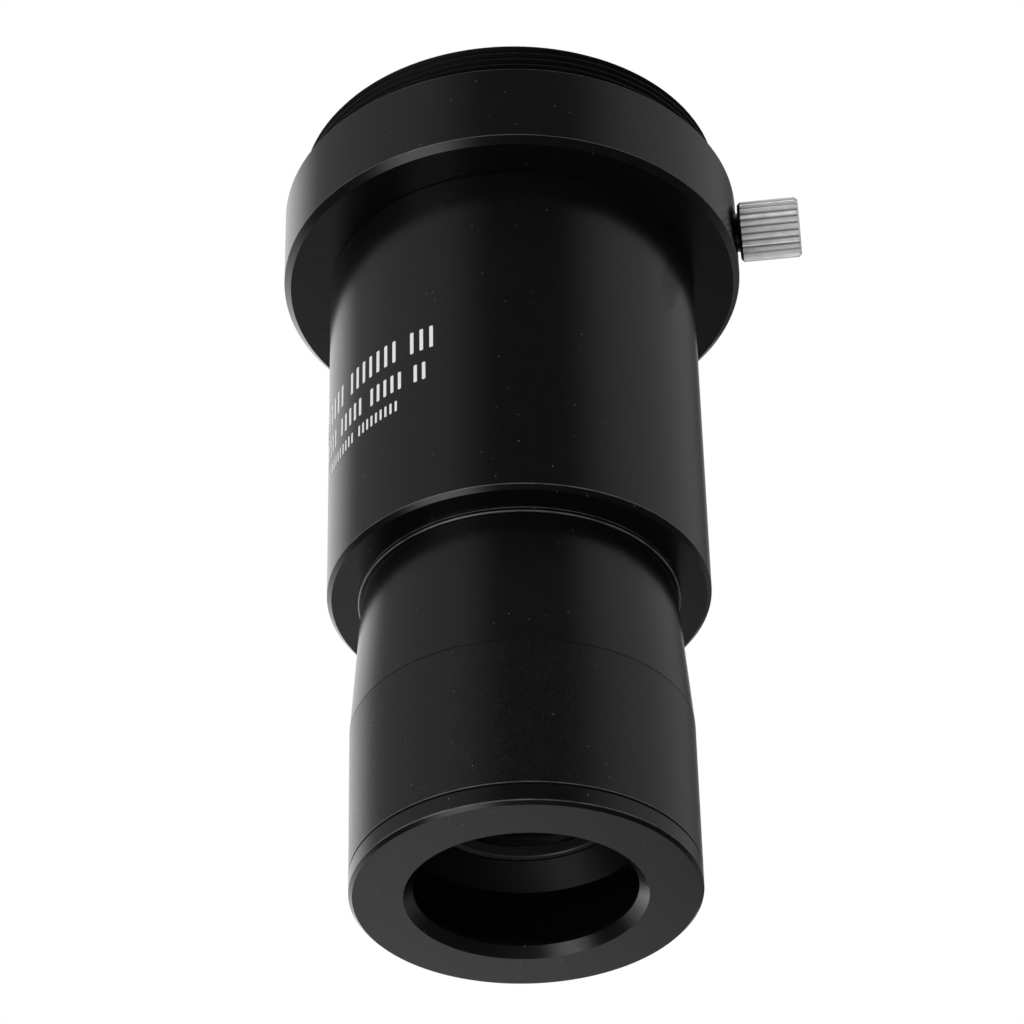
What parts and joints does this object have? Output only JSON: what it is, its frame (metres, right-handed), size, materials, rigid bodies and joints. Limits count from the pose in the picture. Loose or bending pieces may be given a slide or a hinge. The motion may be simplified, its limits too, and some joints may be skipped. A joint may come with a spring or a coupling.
{
  "type": "barlow lens",
  "caption": "Barlow lens with a push-in nosepiece, body tube, negative doublet and a flanged eyepiece collar with clamp screw and male camera thread.",
  "frame": {"origin": "centre of the nosepiece's end face, on the optical axis", "axes": "+Z along the optical axis towards the eyepiece, +X along the thumbscrew, outwards"},
  "size_m": [0.0517, 0.0454, 0.0839],
  "materials": {
    "end_cap": "black anodised, satin",
    "blasted_black": "black anodised over a fine blasted surface",
    "smooth_black": "black anodised, satin",
    "collar_black": "black anodised, satin, threads slightly brighter",
    "inner_black": "matte black anodised",
    "coated_glass": "polished, anti-reflection coated",
    "brass_ring": "turned",
    "bare_metal": "turned and knurled, bare",
    "nylon": "matte",
    "white_ink": "thin screen-printed ink"
  },
  "bodies": {
    "barlow_body": {"end_cap": "end_cap", "nosepiece_barrel": "blasted_black", "lens_cell": "inner_black", "lens_retainer": "inner_black", "crown_lens": "coated_glass", "flint_lens": "coated_glass", "tapered_neck": "smooth_black", "glare_baffle": "inner_black", "body_tube": "smooth_black", "thread_collar": "collar_black", "compression_ring": "brass_ring"},
    "clamp_pad": {"clamp_tip": "nylon"},
    "clamp_screw": {"thumbscrew": "bare_metal"}
  },
  "joints": [
    {"name": "screw_travel", "type": "slide", "parent": "barlow_body", "child": "clamp_pad", "axis": [1, 0, 0], "range_m": [-0.0002, 0.00209]},
    {"name": "screw_turn", "type": "hinge", "parent": "clamp_pad", "child": "clamp_screw", "pos_m": [0, 0, 0.0747], "axis": [1, 0, 0], "range_deg": [-104, 1080]}
  ],
  "couplings": [
    {"joint": "screw_turn", "follows": "screw_travel", "rad_per_m": 8976}
  ]
}
